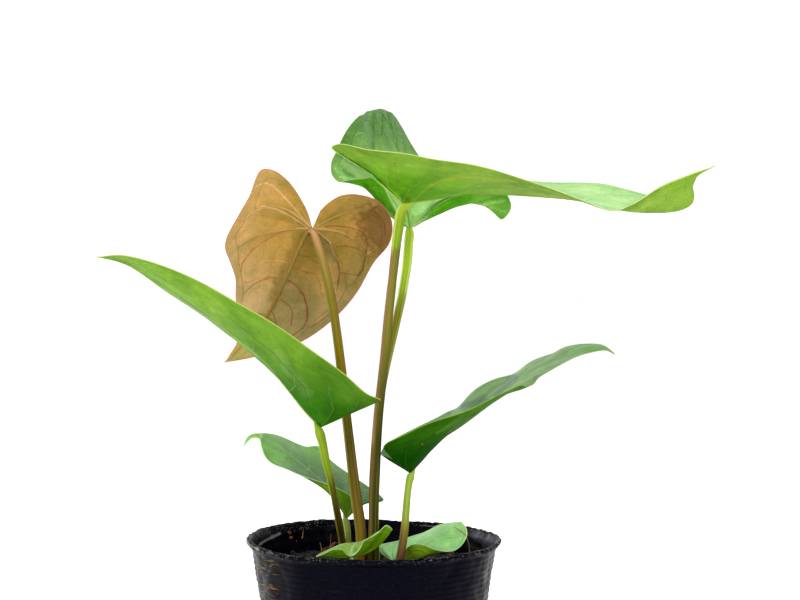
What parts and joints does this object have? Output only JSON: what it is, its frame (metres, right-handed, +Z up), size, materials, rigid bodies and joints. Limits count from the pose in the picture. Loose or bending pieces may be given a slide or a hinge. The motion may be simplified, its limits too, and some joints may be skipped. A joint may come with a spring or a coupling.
{
  "type": "potted anthurium hybrid",
  "caption": "Young anthurium hybrid with heart-shaped leaves on slender stalks, growing in a thin black nursery pot of dark potting mix.",
  "frame": {"origin": "centre of the pot's base, on the surface that it stands on", "axes": "+Z up; -Y towards the viewer of the picture, +X to the viewer's right"},
  "size_m": [0.2474, 0.1718, 0.2729],
  "materials": {
    "pot_film": "black film, semi-gloss",
    "potting_mix": "moist dark crumbs, matt",
    "crown": "rough bark and pale roots",
    "stalk": "olive green, smooth, striped brown",
    "leaf_green": "green, leathery, satin",
    "leaf_bronze": "copper brown, leathery, satin"
  },
  "bodies": {
    "root": {"pot": "pot_film", "potting_mix": "potting_mix", "crown": "crown", "stalk_high_right": "stalk", "stalk_high_back": "stalk", "stalk_bronze": "stalk", "stalk_left": "stalk", "stalk_low_left": "stalk", "stalk_right": "stalk", "stalk_small_front": "stalk", "stalk_small_right": "stalk", "leaf_high_right": "leaf_green", "leaf_high_back": "leaf_green", "leaf_bronze": "leaf_bronze", "leaf_left": "leaf_green", "leaf_low_left": "leaf_green", "leaf_right": "leaf_green", "leaf_small_front": "leaf_green", "leaf_small_right": "leaf_green"}
  },
  "joints": []
}
